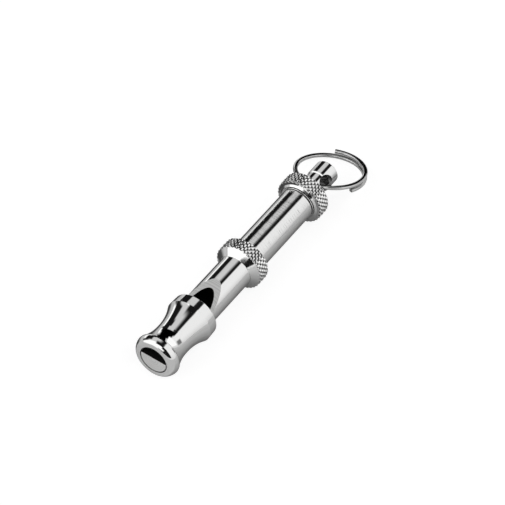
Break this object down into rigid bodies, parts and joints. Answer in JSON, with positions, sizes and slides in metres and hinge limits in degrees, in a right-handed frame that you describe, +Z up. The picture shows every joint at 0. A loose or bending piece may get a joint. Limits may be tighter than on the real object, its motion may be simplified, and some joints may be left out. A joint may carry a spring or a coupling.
{
  "type": "adjustable dog whistle",
  "caption": "Slim metal dog whistle with a waisted mouthpiece, a slanting sound window, knurled collars, a plunger set by a screw and lock nut, and a split ring in an eye stud.",
  "frame": {"origin": "on the whistle's axis, in the mouth face", "axes": "+X along the axis from the mouth to the ring, +Z up through the sound window"},
  "size_m": [0.0924, 0.0197, 0.0136],
  "materials": {
    "polished_nickel": "bright polished nickel plate on brass",
    "satin_nickel": "satin machined face",
    "knurled_nickel": "bright nickel plate over a diamond knurl",
    "turned_nickel": "bright nickel plate with fine turning marks",
    "raw_brass": "plain turned brass",
    "black_rubber": "matt black rubber",
    "spring_steel": "plain spring steel",
    "ring_steel": "bright plated spring wire"
  },
  "bodies": {
    "body": {"mouthpiece": "polished_nickel", "windway_plug": "satin_nickel", "whistle_tube": "polished_nickel", "middle_collar": "knurled_nickel", "rear_barrel": "turned_nickel", "threaded_bush": "raw_brass"},
    "plunger": {"plunger_head": "raw_brass", "plunger_seal": "black_rubber", "plunger_clip": "spring_steel"},
    "screw": {"tuning_screw": "turned_nickel", "eye_stud": "polished_nickel"},
    "washer": {"lock_washer": "spring_steel"},
    "nut": {"lock_nut": "knurled_nickel"},
    "ring": {"split_ring": "ring_steel"}
  },
  "joints": [
    {"name": "plunger_slide", "type": "slide", "parent": "body", "child": "plunger", "axis": [1, 0, 0], "range_m": [0, 0.005]},
    {"name": "screw_turn", "type": "hinge", "parent": "plunger", "child": "screw", "pos_m": [0.0375, 0, 0], "axis": [1, 0, 0], "range_deg": [0, 3600]},
    {"name": "washer_slide", "type": "slide", "parent": "body", "child": "washer", "axis": [1, 0, 0], "range_m": [0, 0.0012]},
    {"name": "nut_turn", "type": "hinge", "parent": "washer", "child": "nut", "pos_m": [0.068, 0, 0], "axis": [1, 0, 0], "range_deg": [0, 864]},
    {"name": "ring_swing", "type": "hinge", "parent": "screw", "child": "ring", "pos_m": [0.0747, 0, 0], "axis": [0, -0.8616, 0.5075], "range_deg": [-65, 150]}
  ],
  "couplings": [
    {"joint": "plunger_slide", "follows": "screw_turn", "m_per_rad": 0.000079577},
    {"joint": "washer_slide", "follows": "nut_turn", "m_per_rad": 0.000079577}
  ]
}
